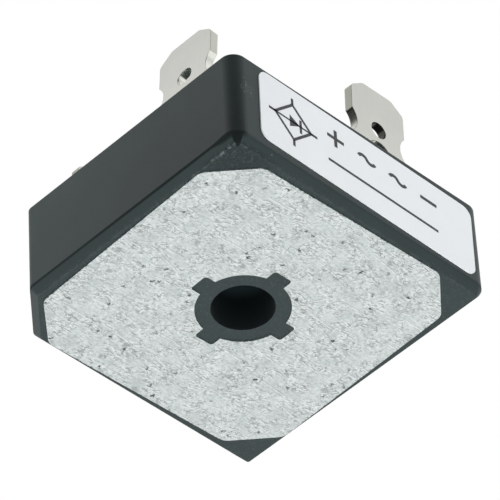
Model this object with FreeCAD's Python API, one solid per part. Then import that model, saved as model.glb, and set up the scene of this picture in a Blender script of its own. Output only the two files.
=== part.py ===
import FreeCAD, Part
import math
import os

os.makedirs("parts", exist_ok=True)

# Bridge rectifier in millimetres. The base face lies on z = 0, the middle of the
# mounting hole is the origin, and the push-on terminals point up along +Z.
# The labelled side faces -Y, and the cut corner is the one at -X, +Y.

# moulded case
caseSide = 28.8
caseTop = 9.9
caseCornerRadius = 1.3
caseKeyCut = 4.05
caseKeyRadius = 0.7
caseTopRounding = 0.15
wallThickness = 1.7
roofThickness = 1.5
bevelInset = 0.62
bevelHeight = 0.75
bevelCornerRadius = 0.2

# screw tube in the middle of the case, with four ribs that key the base plate
boreDiameter = 5.4
boreMouthChamfer = 0.3
tubeDiameter = 8.1
ribTipDiameter = 10.0
ribWidth = 1.9
ribTipRadius = 0.3

# metal base plate, which sits slightly turned in the case and stands a little proud
plateRim = 1.0
plateCornerCut = 3.67
plateCornerRadius = 1.2
plateThickness = 1.6
plateProud = 0.1
plateTurn = -1.8

# ceramic sheet between the base plate and the live parts
ceramicThickness = 0.4
ceramicEdgeGap = 0.3
ceramicTubeGap = 0.25

# copper pads, one along each side of the case
padThickness = 0.5
padWidth = 7.2
padEdgeGap = 0.6
padGap = 0.4
padTubeGap = 0.85
padCornerRadius = 0.4

# push-on terminals; two of them lean a little, and one stands nearer the middle of its side
bladeWidth = 6.2
bladeThickness = 0.8
bladeReach = 10.3
bladeOuterGap = 2.85
bladeSideGap = 5.75
tipCutAcross = 1.43
tipCutDown = 1.0
tipCutRadius = 0.6
latchHoleDiameter = 1.7
latchHoleDrop = 4.5
wireHoleDiameter = 2.7
wireHoleDrop = 7.2
notchDrop = 5.0
notchHeight = 2.7
notchDepth = 0.55
footLength = 2.8
bendRadius = 0.4
slotClearance = 0.15
inwardLean = 4.5
outwardLean = 1.9
leanRise = 0.45
positiveNearer = 0.5

# diode chips, solder and the strips that bridge from each chip to the next pad
chipSide = 4.0
chipThickness = 0.3
chipEdgeCut = 0.1
chipEndGap = 1.2
chipWallGap = 0.7
solderThickness = 0.08
solderInset = 0.2
stripWidth = 2.4
stripThickness = 0.4
stripWallGap = 1.05
stripChipRun = 3.2
stripArchRise = 0.75
stripArchRun = 1.1
stripSlope = 0.75
stripLandingRun = 2.0

# self-adhesive label on the -Y side, stuck on slightly askew
labelKeyMargin = 2.8
labelPlainMargin = 1.4
labelBottomMargin = 1.4
labelTopMargin = 0.6
labelTilt = 1.05
labelRadius = 1.0
labelThickness = 0.1

# cutters run this far past the face they open, and faces this close are taken as level
cutterOverrun = 1.0
levelTolerance = 0.001

# sizes that follow from those above
caseHalf = caseSide / 2
caseFoot = plateProud
bevelTop = caseFoot + bevelHeight
cavityHalf = caseHalf - wallThickness
cavityKeyCut = caseKeyCut - (2 - math.sqrt(2)) * wallThickness
bevelKeyCut = caseKeyCut - (2 - math.sqrt(2)) * bevelInset
roofUnder = caseTop - roofThickness
plateSide = caseSide - 2 * plateRim
tubeRadius = tubeDiameter / 2
ceramicTop = plateThickness + ceramicThickness
padTop = ceramicTop + padThickness
jointTop = padTop + solderThickness
chipTop = jointTop + chipThickness
stripUnder = chipTop + solderThickness
padOuter = cavityHalf - padEdgeGap
padInner = max(padOuter - padWidth, tubeRadius + padTubeGap)
padEnd = padInner - padGap
chipCentre = padEnd - chipEndGap - chipSide / 2
chipOffset = cavityHalf - chipWallGap - chipSide / 2
stripOffset = cavityHalf - stripWallGap - stripWidth / 2
bladeOuter = caseHalf - bladeOuterGap
bladeOffset = bladeOuter - bladeThickness / 2
bladeInner = bladeOuter - bladeThickness
bladeShift = caseHalf - bladeSideGap - bladeWidth / 2
bladeTop = caseTop + bladeReach

# the four sides, each a quarter turn on from the one before
sides = ["positive", "ac_left", "negative", "ac_right"]
leans = {"ac_left": inwardLean, "negative": -outwardLean}
nearer = {"positive": positiveNearer}

parts = {}


def sideTurn(shape, side):
    turned = shape.copy()
    turned.rotate(FreeCAD.Vector(0, 0, 0), FreeCAD.Vector(0, 0, 1), 90 * sides.index(side))
    return turned


def bladeMiddle(side):
    # how far along its side a blade stands, before the quarter turns
    return nearer.get(side, 0) - bladeShift


def box(xLow, xHigh, yLow, yHigh, zLow, zHigh):
    corner = FreeCAD.Vector(xLow, yLow, zLow)
    return Part.makeBox(xHigh - xLow, yHigh - yLow, zHigh - zLow, corner)


def cylinder(radius, zLow, zHigh):
    return Part.makeCylinder(radius, zHigh - zLow, FreeCAD.Vector(0, 0, zLow))


def crossPin(radius, x, z):
    # a round cutter through the thickness of a blade
    start = FreeCAD.Vector(x, bladeInner - cutterOverrun, z)
    return Part.makeCylinder(radius, bladeThickness + 2 * cutterOverrun, start, FreeCAD.Vector(0, 1, 0))


def roundedLoop(corners, z):
    # closed outline through (x, y, radius) corners, each turned into an arc unless its radius is 0
    count = len(corners)
    edges = []
    joints = []
    for index in range(count):
        x, y, radius = corners[index]
        here = FreeCAD.Vector(x, y, z)
        before = FreeCAD.Vector(corners[index - 1][0], corners[index - 1][1], z) - here
        after = FreeCAD.Vector(corners[(index + 1) % count][0], corners[(index + 1) % count][1], z) - here
        before.normalize()
        after.normalize()
        halfAngle = before.getAngle(after) / 2
        reach = radius / math.tan(halfAngle)
        inward = before + after
        inward.normalize()
        middle = here + inward * (radius / math.sin(halfAngle) - radius)
        joints.append((here + before * reach, middle, here + after * reach))
    for index in range(count):
        start, middle, end = joints[index]
        nextStart = joints[(index + 1) % count][0]
        if corners[index][2] > 0:
            edges.append(Part.Arc(start, middle, end).toShape())
        edges.append(Part.makeLine(end, nextStart))
    return Part.Wire(edges)


def prism(loop, height):
    return Part.Face(loop).extrude(FreeCAD.Vector(0, 0, height))


def keyedSquare(half, keyCut, cornerRadius, keyRadius, z):
    # a square with three rounded corners and the fourth cut off
    corners = [
        (-half, -half, cornerRadius),
        (half, -half, cornerRadius),
        (half, half, cornerRadius),
        (keyCut - half, half, keyRadius),
        (-half, half - keyCut, keyRadius),
    ]
    return roundedLoop(corners, z)


def plateLoop(z):
    half = plateSide / 2
    near = half - plateCornerCut
    corners = []
    for quarter in range(4):
        angle = math.radians(90 * quarter)
        for x, y in ((half, -near), (half, near)):
            turnedX = x * math.cos(angle) - y * math.sin(angle)
            turnedY = x * math.sin(angle) + y * math.cos(angle)
            corners.append((turnedX, turnedY, plateCornerRadius))
    loop = roundedLoop(corners, z)
    loop.rotate(FreeCAD.Vector(0, 0, 0), FreeCAD.Vector(0, 0, 1), plateTurn)
    return loop


def ribCross(zLow, zHigh):
    # the four ribs around the foot of the screw tube, turned with the plate
    reach = ribTipDiameter / 2
    corners = [
        (-reach, -ribWidth / 2, ribTipRadius),
        (reach, -ribWidth / 2, ribTipRadius),
        (reach, ribWidth / 2, ribTipRadius),
        (-reach, ribWidth / 2, ribTipRadius),
    ]
    bar = prism(roundedLoop(corners, zLow), zHigh - zLow)
    crossBar = bar.copy()
    crossBar.rotate(FreeCAD.Vector(0, 0, 0), FreeCAD.Vector(0, 0, 1), 90)
    cross = bar.fuse(crossBar)
    cross.rotate(FreeCAD.Vector(0, 0, 0), FreeCAD.Vector(0, 0, 1), plateTurn)
    return cross


def tubeFoot(zLow, zHigh):
    return cylinder(tubeRadius, zLow, zHigh).fuse(ribCross(zLow, zHigh)).removeSplitter()


def buildCase():
    foot = keyedSquare(caseHalf - bevelInset, bevelKeyCut, bevelCornerRadius, bevelCornerRadius, caseFoot)
    shoulder = keyedSquare(caseHalf, caseKeyCut, caseCornerRadius, caseKeyRadius, bevelTop)
    bevel = Part.makeLoft([foot, shoulder], True, True)
    upper = prism(shoulder, caseTop - bevelTop)
    rim = [edge for edge in upper.Edges if edge.BoundBox.ZMin > caseTop - levelTolerance]
    upper = upper.makeFillet(caseTopRounding, rim)
    shell = upper.fuse(bevel)
    cavity = keyedSquare(cavityHalf, cavityKeyCut, caseCornerRadius, caseKeyRadius, plateThickness)
    shell = shell.cut(prism(cavity, roofUnder - plateThickness))
    pocketFloor = caseFoot - cutterOverrun
    shell = shell.cut(prism(plateLoop(pocketFloor), plateThickness - pocketFloor))
    tubeTop = caseTop - boreMouthChamfer
    tube = tubeFoot(caseFoot, plateThickness).fuse(cylinder(tubeRadius, plateThickness, tubeTop))
    shell = shell.fuse(tube)
    shell = shell.cut(cylinder(boreDiameter / 2, caseFoot - cutterOverrun, caseTop + cutterOverrun))
    mouth = Part.makeCone(
        boreDiameter / 2, boreDiameter / 2 + 2 * boreMouthChamfer, 2 * boreMouthChamfer,
        FreeCAD.Vector(0, 0, tubeTop))
    shell = shell.cut(mouth)
    for side in sides:
        slot = box(
            bladeMiddle(side) - bladeWidth / 2 - slotClearance,
            bladeMiddle(side) + bladeWidth / 2 + slotClearance,
            bladeInner - slotClearance,
            bladeOuter + slotClearance,
            roofUnder - cutterOverrun, caseTop + cutterOverrun)
        shell = shell.cut(sideTurn(slot, side))
    return shell.removeSplitter()


def buildPlate():
    plate = prism(plateLoop(0), plateThickness)
    return plate.cut(tubeFoot(-cutterOverrun, plateThickness + cutterOverrun))


def buildCeramic():
    half = cavityHalf - ceramicEdgeGap
    loop = keyedSquare(half, cavityKeyCut, caseCornerRadius, caseKeyRadius, plateThickness)
    sheet = prism(loop, ceramicThickness)
    hole = cylinder(tubeRadius + ceramicTubeGap, plateThickness - cutterOverrun, ceramicTop + cutterOverrun)
    return sheet.cut(hole)


def buildPad():
    # the pad's outer corner follows the cut corner of the cavity
    cut = cavityKeyCut
    corners = [
        (-padOuter, padInner, padCornerRadius),
        (padEnd, padInner, padCornerRadius),
        (padEnd, padOuter, padCornerRadius),
        (cut - padOuter, padOuter, padCornerRadius),
        (-padOuter, padOuter - cut, padCornerRadius),
    ]
    return prism(roundedLoop(corners, ceramicTop), padThickness)


def bladeFront():
    # the blade seen from the front, with clipped corners at its tip, thick enough to take in the foot
    half = bladeWidth / 2
    corners = [
        (-half, jointTop, 0),
        (half, jointTop, 0),
        (half, bladeTop - tipCutDown, tipCutRadius),
        (half - tipCutAcross, bladeTop, tipCutRadius),
        (tipCutAcross - half, bladeTop, tipCutRadius),
        (-half, bladeTop - tipCutDown, tipCutRadius),
    ]
    front = prism(roundedLoop(corners, 0), footLength)
    front.rotate(FreeCAD.Vector(0, 0, 0), FreeCAD.Vector(1, 0, 0), 90)
    front.translate(FreeCAD.Vector(0, bladeOuter, 0))
    return front


def bladeSide():
    # the blade and its foot seen from the side, one strip of sheet bent round a right angle
    corners = [
        (bladeOuter - footLength, jointTop, 0),
        (bladeOuter, jointTop, bendRadius + bladeThickness),
        (bladeOuter, bladeTop, 0),
        (bladeInner, bladeTop, 0),
        (bladeInner, jointTop + bladeThickness, bendRadius),
        (bladeOuter - footLength, jointTop + bladeThickness, 0),
    ]
    profile = prism(roundedLoop(corners, 0), bladeWidth)
    profile.rotate(FreeCAD.Vector(0, 0, 0), FreeCAD.Vector(1, 1, 1), 120)
    profile.translate(FreeCAD.Vector(-bladeWidth / 2, 0, 0))
    return profile


def bendBlade(straight, lean):
    # lean the blade just above the roof, towards the middle of the case when the angle is positive
    bendHeight = caseTop + leanRise
    axis = FreeCAD.Vector(0, bladeOffset, bendHeight)
    upperHalf = box(
        -bladeWidth, bladeWidth, bladeInner - cutterOverrun, bladeOuter + cutterOverrun,
        bendHeight, bladeTop + cutterOverrun)
    lower = straight.cut(upperHalf)
    upper = straight.common(upperHalf)
    upper.rotate(axis, FreeCAD.Vector(1, 0, 0), lean)
    start = FreeCAD.Vector(-bladeWidth / 2, bladeOffset, bendHeight)
    knuckle = Part.makeCylinder(bladeThickness / 2, bladeWidth, start, FreeCAD.Vector(1, 0, 0))
    return lower.fuse([upper, knuckle])


def buildTerminal(side):
    notchRadius = (notchHeight ** 2 / 4 + notchDepth ** 2) / (2 * notchDepth)
    notchCentre = bladeWidth / 2 + notchRadius - notchDepth
    terminal = bladeFront().common(bladeSide())
    terminal = terminal.cut(crossPin(latchHoleDiameter / 2, 0, bladeTop - latchHoleDrop))
    terminal = terminal.cut(crossPin(wireHoleDiameter / 2, 0, bladeTop - wireHoleDrop))
    for x in (-notchCentre, notchCentre):
        terminal = terminal.cut(crossPin(notchRadius, x, bladeTop - notchDrop))
    if side in leans:
        terminal = bendBlade(terminal, leans[side])
    terminal.translate(FreeCAD.Vector(bladeMiddle(side), 0, 0))
    return sideTurn(terminal, side)


def buildStrip():
    # side view of the strip as (x, z) points along its underside, then thickened upwards
    x = chipCentre - chipSide / 2 + solderInset
    under = [
        (x, stripUnder),
        (x + stripChipRun, stripUnder),
        (x + stripChipRun + stripSlope, stripUnder + stripArchRise),
        (x + stripChipRun + stripSlope + stripArchRun, stripUnder + stripArchRise),
    ]
    drop = stripUnder + stripArchRise - jointTop
    landing = under[-1][0] + drop
    under.append((landing, jointTop))
    under.append((landing + stripLandingRun, jointTop))
    loop = []
    for px, pz in under:
        loop.append(FreeCAD.Vector(px, stripOffset - stripWidth / 2, pz))
    for index in range(len(under) - 1, -1, -1):
        px, pz = under[index]
        before = under[max(index - 1, 0)]
        after = under[min(index + 1, len(under) - 1)]
        first = math.atan2(pz - before[1], px - before[0]) if index > 0 else 0
        second = math.atan2(after[1] - pz, after[0] - px) if index < len(under) - 1 else 0
        normal = (first + second) / 2
        length = stripThickness / math.cos((second - first) / 2)
        loop.append(FreeCAD.Vector(
            px - length * math.sin(normal), stripOffset - stripWidth / 2, pz + length * math.cos(normal)))
    loop.append(loop[0])
    strip = Part.Face(Part.makePolygon(loop)).extrude(FreeCAD.Vector(0, stripWidth, 0))
    return strip, landing


def buildResin(cores):
    loop = keyedSquare(cavityHalf, cavityKeyCut, caseCornerRadius, caseKeyRadius, plateThickness)
    block = prism(loop, roofUnder - plateThickness)
    block = block.cut(cylinder(tubeRadius, plateThickness - cutterOverrun, roofUnder + cutterOverrun))
    return block.cut(cores)


def buildLabel():
    left = labelKeyMargin - caseHalf
    right = caseHalf - labelPlainMargin
    bottom = caseFoot + labelBottomMargin
    top = caseTop - labelTopMargin
    corners = [
        (left, bottom, labelRadius),
        (right, bottom, labelRadius),
        (right, top, labelRadius),
        (left, top, labelRadius),
    ]
    label = prism(roundedLoop(corners, 0), labelThickness)
    label.rotate(FreeCAD.Vector(0, 0, 0), FreeCAD.Vector(1, 0, 0), 90)
    middle = FreeCAD.Vector((left + right) / 2, 0, (bottom + top) / 2)
    label.rotate(middle, FreeCAD.Vector(0, 1, 0), labelTilt)
    label.translate(FreeCAD.Vector(0, -caseHalf, 0))
    return label


# parts made once
parts["case"] = buildCase()
parts["base_plate"] = buildPlate()
parts["ceramic_sheet"] = buildCeramic()

# parts that repeat on each side
pad = buildPad()
strip, stripLanding = buildStrip()
chip = box(
    chipCentre - chipSide / 2, chipCentre + chipSide / 2,
    chipOffset - chipSide / 2, chipOffset + chipSide / 2,
    jointTop, chipTop)
chipRim = [edge for edge in chip.Edges if edge.BoundBox.ZMin > chipTop - levelTolerance]
chip = chip.makeChamfer(chipEdgeCut, chipRim)
chipUnderSolder = box(
    chipCentre - chipSide / 2 + solderInset, chipCentre + chipSide / 2 - solderInset,
    chipOffset - chipSide / 2 + solderInset, chipOffset + chipSide / 2 - solderInset,
    padTop, jointTop)
chipOverSolder = box(
    chipCentre - chipSide / 2 + solderInset, chipCentre + chipSide / 2 - 2 * solderInset,
    max(chipOffset - chipSide / 2, stripOffset - stripWidth / 2) + solderInset,
    min(chipOffset + chipSide / 2, stripOffset + stripWidth / 2) - solderInset,
    chipTop, stripUnder)
stripSolder = box(
    stripLanding + solderInset, stripLanding + stripLandingRun - solderInset,
    stripOffset - stripWidth / 2 + solderInset, stripOffset + stripWidth / 2 - solderInset,
    padTop, jointTop)
footSolder = box(
    solderInset - bladeWidth / 2, bladeWidth / 2 - solderInset,
    bladeOuter - footLength + solderInset, bladeOuter - bendRadius - bladeThickness - solderInset,
    padTop, jointTop)

for side in sides:
    parts["terminal_" + side] = buildTerminal(side)
    parts["pad_" + side] = sideTurn(pad, side)
    parts["chip_" + side] = sideTurn(chip, side)
    parts["strip_" + side] = sideTurn(strip, side)
    parts["chip_under_solder_" + side] = sideTurn(chipUnderSolder, side)
    parts["chip_over_solder_" + side] = sideTurn(chipOverSolder, side)
    parts["strip_solder_" + side] = sideTurn(stripSolder, side)
    solder = footSolder.translated(FreeCAD.Vector(bladeMiddle(side), 0, 0))
    parts["foot_solder_" + side] = sideTurn(solder, side)

inner = [shape for name, shape in parts.items() if name not in ("case", "base_plate")]
parts["resin"] = buildResin(inner)
parts["label"] = buildLabel()

for name, shape in parts.items():
    solid = shape.Solids[0]
    print(name, "solids", len(shape.Solids), "valid", solid.isValid(), "volume", round(solid.Volume, 3))
    solid.exportStep("parts/" + name + ".step")
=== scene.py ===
import math
import bpy
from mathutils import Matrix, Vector


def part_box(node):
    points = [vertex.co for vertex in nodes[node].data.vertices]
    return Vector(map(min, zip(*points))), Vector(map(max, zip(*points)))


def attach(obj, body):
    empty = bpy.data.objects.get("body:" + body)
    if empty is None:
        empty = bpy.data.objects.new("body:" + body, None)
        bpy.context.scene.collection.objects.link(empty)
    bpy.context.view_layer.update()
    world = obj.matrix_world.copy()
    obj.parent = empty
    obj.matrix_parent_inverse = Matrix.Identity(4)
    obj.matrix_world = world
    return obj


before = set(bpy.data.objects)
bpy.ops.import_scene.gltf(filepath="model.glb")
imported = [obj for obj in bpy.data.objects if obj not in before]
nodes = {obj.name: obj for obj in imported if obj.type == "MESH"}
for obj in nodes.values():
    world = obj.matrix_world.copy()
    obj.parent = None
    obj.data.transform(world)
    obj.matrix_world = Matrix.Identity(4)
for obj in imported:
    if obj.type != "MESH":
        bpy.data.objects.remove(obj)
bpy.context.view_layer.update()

mm = 0.001
sides = ["positive", "ac_left", "negative", "ac_right"]
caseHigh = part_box("case")[1]
labelLow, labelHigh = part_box("label")

print("frame loaded:", len(nodes), "nodes")

# settings and pairs of input names that many nodes share
smooth = {"interpolation_type": "SMOOTHSTEP"}
add = {"operation": "ADD"}
subtract = {"operation": "SUBTRACT"}
multiply = {"operation": "MULTIPLY"}
multiplyAdd = {"operation": "MULTIPLY_ADD"}
absolute = {"operation": "ABSOLUTE"}
maximum = {"operation": "MAXIMUM"}
lessThan = {"operation": "LESS_THAN"}
compare = {"operation": "COMPARE"}
distance = {"operation": "DISTANCE"}
dotProduct = {"operation": "DOT_PRODUCT"}
aboutZ = {"rotation_type": "Z_AXIS"}
mix = {"data_type": "RGBA"}
tint = {"data_type": "RGBA", "blend_type": "MULTIPLY"}
colourPair = (6, 7)
fromRange = ("From Min", "From Max")
toRange = ("To Min", "To Max")


def deselectAll():
    bpy.ops.object.select_all(action="DESELECT")


def hexColour(code):
    # sRGB hex to the linear values that the shaders take
    channels = []
    for start in (1, 3, 5):
        value = int(code[start:start + 2], 16) / 255
        channels.append(value / 12.92 if value <= 0.04045 else ((value + 0.055) / 1.055) ** 2.4)
    return (*channels, 1)


def addNode(tree, kind, settings=None, inputs=None):
    # one node with its settings, its fixed inputs and its links; a node given as an input stands for
    # its first output, and a pair of input names takes a pair of values
    node = tree.nodes.new(kind)
    for name, value in (settings or {}).items():
        setattr(node, name, value)
    for key, value in (inputs or {}).items():
        pairs = zip(key, value) if isinstance(key, tuple) else [(key, value)]
        for name, given in pairs:
            source = given.outputs[0] if isinstance(given, bpy.types.Node) else given
            if isinstance(source, bpy.types.NodeSocket):
                tree.links.new(source, node.inputs[name])
            else:
                node.inputs[name].default_value = source
    return node


def newMaterial(name):
    # an empty material and its node tree
    material = bpy.data.materials.new(name)
    material.use_nodes = True
    material.node_tree.nodes.clear()
    return material, material.node_tree


def placeInMillimetres(tree):
    # the piece's own coordinates, in millimetres
    coordinates = addNode(tree, "ShaderNodeTexCoord")
    return addNode(tree, "ShaderNodeVectorMath", {"operation": "SCALE"}, {
        0: coordinates.outputs["Object"], "Scale": 1 / mm})


def noiseLayer(tree, place, size, detail, roughness, tones=(0, 1), levels=(0.3, 0.7), step=None):
    # noise with grains of the given size in mm, and the tone that it gives between its two levels
    noise = addNode(tree, "ShaderNodeTexNoise", {}, {
        "Vector": place, "Scale": 1 / size, "Detail": detail, "Roughness": roughness})
    tone = addNode(tree, "ShaderNodeMapRange", step, {"Value": noise, fromRange: levels, toRange: tones})
    return noise, tone


def scratchLayer(tree, place, cell, width, length, share, angle, spread, seed):
    # short straight scratches, one per Voronoi cell and each turned a little its own way, kept in a share
    # of the cells; gives the painted shade of each furrow and the painted highlight of the ridge beside it
    shifted = addNode(tree, "ShaderNodeVectorMath", multiplyAdd, {
        0: place, 1: (1, 1, 0), 2: (seed, seed * 0.7, 0)})
    cells = addNode(tree, "ShaderNodeTexVoronoi", {"voronoi_dimensions": "2D"}, {
        "Vector": shifted, "Scale": 1 / cell})
    fromMiddle = addNode(tree, "ShaderNodeVectorMath", subtract, {
        0: shifted, 1: cells.outputs["Position"]})
    chance = addNode(tree, "ShaderNodeSeparateColor", {}, {"Color": cells.outputs["Color"]})
    turn = addNode(tree, "ShaderNodeMapRange", {}, {
        "Value": chance.outputs["Red"],
        toRange: (math.radians(-angle - spread), math.radians(-angle + spread))})
    turned = addNode(tree, "ShaderNodeVectorRotate", aboutZ, {"Vector": fromMiddle, "Angle": turn})
    across = addNode(tree, "ShaderNodeSeparateXYZ", {}, {"Vector": turned})
    along = addNode(tree, "ShaderNodeMath", absolute, {0: across.outputs["X"]})
    short = addNode(tree, "ShaderNodeMapRange", smooth, {
        "Value": along, fromRange: (length * 0.25, length * 0.5), toRange: (1, 0)})
    kept = addNode(tree, "ShaderNodeMath", lessThan, {0: chance.outputs["Green"], 1: share})
    part = addNode(tree, "ShaderNodeMath", multiply, {0: short, 1: kept})
    lines = []
    for shift in (width / 2, -width / 2):
        offLine = addNode(tree, "ShaderNodeMath", add, {0: across.outputs["Y"], 1: shift})
        sideways = addNode(tree, "ShaderNodeMath", absolute, {0: offLine})
        thin = addNode(tree, "ShaderNodeMapRange", smooth, {
            "Value": sideways, fromRange: (width * 0.25, width * 0.65), toRange: (1, 0)})
        lines.append(addNode(tree, "ShaderNodeMath", multiply, {0: thin, 1: part}))
    return lines


def pitLayer(tree, place, cell, size, share, seed, dimensions="3D"):
    # small round marks: one per Voronoi cell, kept in a share of the cells
    shifted = addNode(tree, "ShaderNodeVectorMath", add, {
        0: place, 1: (seed, seed * 1.7, seed * 0.4)})
    cells = addNode(tree, "ShaderNodeTexVoronoi", {"voronoi_dimensions": dimensions}, {
        "Vector": shifted, "Scale": 1 / cell})
    chance = addNode(tree, "ShaderNodeSeparateColor", {}, {"Color": cells.outputs["Color"]})
    near = addNode(tree, "ShaderNodeMapRange", smooth, {
        "Value": cells.outputs["Distance"], fromRange: (size / cell * 0.28, size / cell * 0.5),
        toRange: (1, 0)})
    kept = addNode(tree, "ShaderNodeMath", lessThan, {0: chance.outputs["Blue"], 1: share})
    return addNode(tree, "ShaderNodeMath", multiply, {0: near, 1: kept})


def strokeLayer(tree, place, across, along, angle, seed):
    # grain drawn out one way: noise squeezed across the given angle and stretched along it
    turned = addNode(tree, "ShaderNodeVectorRotate", aboutZ, {
        "Vector": place, "Angle": math.radians(-angle)})
    squeezed = addNode(tree, "ShaderNodeVectorMath", multiplyAdd, {
        0: turned, 1: (1 / along, 1 / across, 1 / across), 2: (seed, seed * 1.9, seed * 0.6)})
    return addNode(tree, "ShaderNodeTexNoise", {}, {
        "Vector": squeezed, "Scale": 1, "Detail": 2, "Roughness": 0.6})


def squareReach(tree, parts):
    # how far out a point lies on a square: the larger of |X| and |Y|
    awayX = addNode(tree, "ShaderNodeMath", absolute, {0: parts.outputs["X"]})
    awayY = addNode(tree, "ShaderNodeMath", absolute, {0: parts.outputs["Y"]})
    return addNode(tree, "ShaderNodeMath", maximum, {0: awayX, 1: awayY})


def strongestMarks(tree, pairs):
    # the strongest dark mark and the strongest bright mark of all the pairs, at each point
    dark, bright = pairs[0]
    for furrow, ridge in pairs[1:]:
        dark = addNode(tree, "ShaderNodeMath", maximum, {0: dark, 1: furrow})
        bright = addNode(tree, "ShaderNodeMath", maximum, {0: bright, 1: ridge})
    return dark, bright


# camera, below the part and looking up at its base
cameraSet = {
    "place": (-0.210463, -0.203195, -0.271358),
    "turn": (133.5934, 2.5388, -43.7606),
    "lens": 347.33,
    "sensor": 36,
    "clip": (0.01, 50),
}
bpy.ops.object.camera_add(
    location=cameraSet["place"], rotation=[math.radians(angle) for angle in cameraSet["turn"]])
camera = bpy.context.object
camera.name = "camera"
camera.data.lens = cameraSet["lens"]
camera.data.sensor_width = cameraSet["sensor"]
camera.data.clip_start, camera.data.clip_end = cameraSet["clip"]
bpy.context.scene.camera = camera
bpy.context.scene.view_settings.view_transform = "Standard"

# studio: even soft light from above left, above right and below, in a white room; glossy surfaces see
# that room dark in two places, high up behind the camera and round the camera's own direction
studioSet = {
    "skyLight": 0.6,
    "darkShare": 0.88,
    "darkPatches": [  # direction, and the cosines from it at which the dark starts and is full
        ((-0.707, -0.707, 0.0), (0.05, 0.7)),
        ((-0.5276, -0.5094, -0.6799), (0.88, 0.97)),
    ],
    "darkAbove": (-0.1, 0.2),  # the first patch is cut off below this height
    "lamps": [  # name, place, side and power
        ("lampLeft", (-0.45, 0.42, 0.55), 0.5, 1.8),
        ("lampRight", (0.42, -0.45, 0.55), 0.5, 3.2),
        ("lampBelow", (-0.05, -0.1, -0.75), 0.7, 6.5),
    ],
    "aim": (0, 0, 0.008),
    "floorColour": "#e4e4e2",
    "floorRoughness": 0.9,
    "floorSize": 3.0,
    "floorDrop": 0.05 * mm,
}
world = bpy.data.worlds.new("studioWorld")
bpy.context.scene.world = world
world.use_nodes = True
sky = world.node_tree
sky.nodes.clear()
direction = addNode(sky, "ShaderNodeTexCoord").outputs["Generated"]
patches = []
for side, spread in studioSet["darkPatches"]:
    towards = addNode(sky, "ShaderNodeVectorMath", dotProduct, {0: direction, 1: side})
    patches.append(addNode(sky, "ShaderNodeMapRange", smooth, {
        "Value": towards.outputs["Value"], fromRange: spread, toRange: (0, studioSet["darkShare"])}))
behind, aroundLens = patches
height = addNode(sky, "ShaderNodeSeparateXYZ", {}, {"Vector": direction})
above = addNode(sky, "ShaderNodeMapRange", smooth, {
    "Value": height.outputs["Z"], fromRange: studioSet["darkAbove"]})
highBehind = addNode(sky, "ShaderNodeMath", multiply, {0: behind, 1: above})
dark = addNode(sky, "ShaderNodeMath", maximum, {0: highBehind, 1: aroundLens})
roomShade = addNode(sky, "ShaderNodeMath", subtract, {0: 1, 1: dark})
rays = addNode(sky, "ShaderNodeLightPath")
seen = addNode(sky, "ShaderNodeMath", maximum, {
    0: rays.outputs["Is Camera Ray"], 1: rays.outputs["Is Transmission Ray"]})
softLight, reflected, white = [
    addNode(sky, "ShaderNodeBackground", {}, {"Color": (1, 1, 1, 1), "Strength": strength})
    for strength in (studioSet["skyLight"], roomShade, 1)]
withGloss = addNode(sky, "ShaderNodeMixShader", {}, {
    0: rays.outputs["Is Glossy Ray"], 1: softLight, 2: reflected})
withWhite = addNode(sky, "ShaderNodeMixShader", {}, {0: seen, 1: withGloss, 2: white})
addNode(sky, "ShaderNodeOutputWorld", {}, {"Surface": withWhite})

for name, place, size, power in studioSet["lamps"]:
    bpy.ops.object.light_add(type="AREA", location=place)
    lamp = bpy.context.object
    lamp.name = name
    lamp.data.shape = "SQUARE"
    lamp.data.size = size
    lamp.data.energy = power
    lamp.visible_glossy = False
    aim = Vector(studioSet["aim"]) - Vector(place)
    lamp.rotation_euler = aim.to_track_quat("-Z", "Y").to_euler()

# pale floor, seen from above only, so that the base can be looked at from below
deselectAll()
bpy.ops.mesh.primitive_plane_add(size=studioSet["floorSize"], location=(0, 0, -studioSet["floorDrop"]))
floor = bpy.context.object
floor.name = "floor"
floorPaint, tree = newMaterial("pale matt floor")
paint = addNode(tree, "ShaderNodeBsdfPrincipled", {}, {
    "Base Color": hexColour(studioSet["floorColour"]), "Roughness": studioSet["floorRoughness"]})
clear = addNode(tree, "ShaderNodeBsdfTransparent")
floorRays = addNode(tree, "ShaderNodeLightPath")
floorSide = addNode(tree, "ShaderNodeNewGeometry")
fromAbove = addNode(tree, "ShaderNodeMath", subtract, {
    0: floorRays.outputs["Is Camera Ray"], 1: floorSide.outputs["Backfacing"]})
shown = addNode(tree, "ShaderNodeMixShader", {}, {0: fromAbove, 1: clear, 2: paint})
addNode(tree, "ShaderNodeOutputMaterial", {}, {"Surface": shown})
floor.data.materials.append(floorPaint)
print("camera, studio and floor placed")

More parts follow.
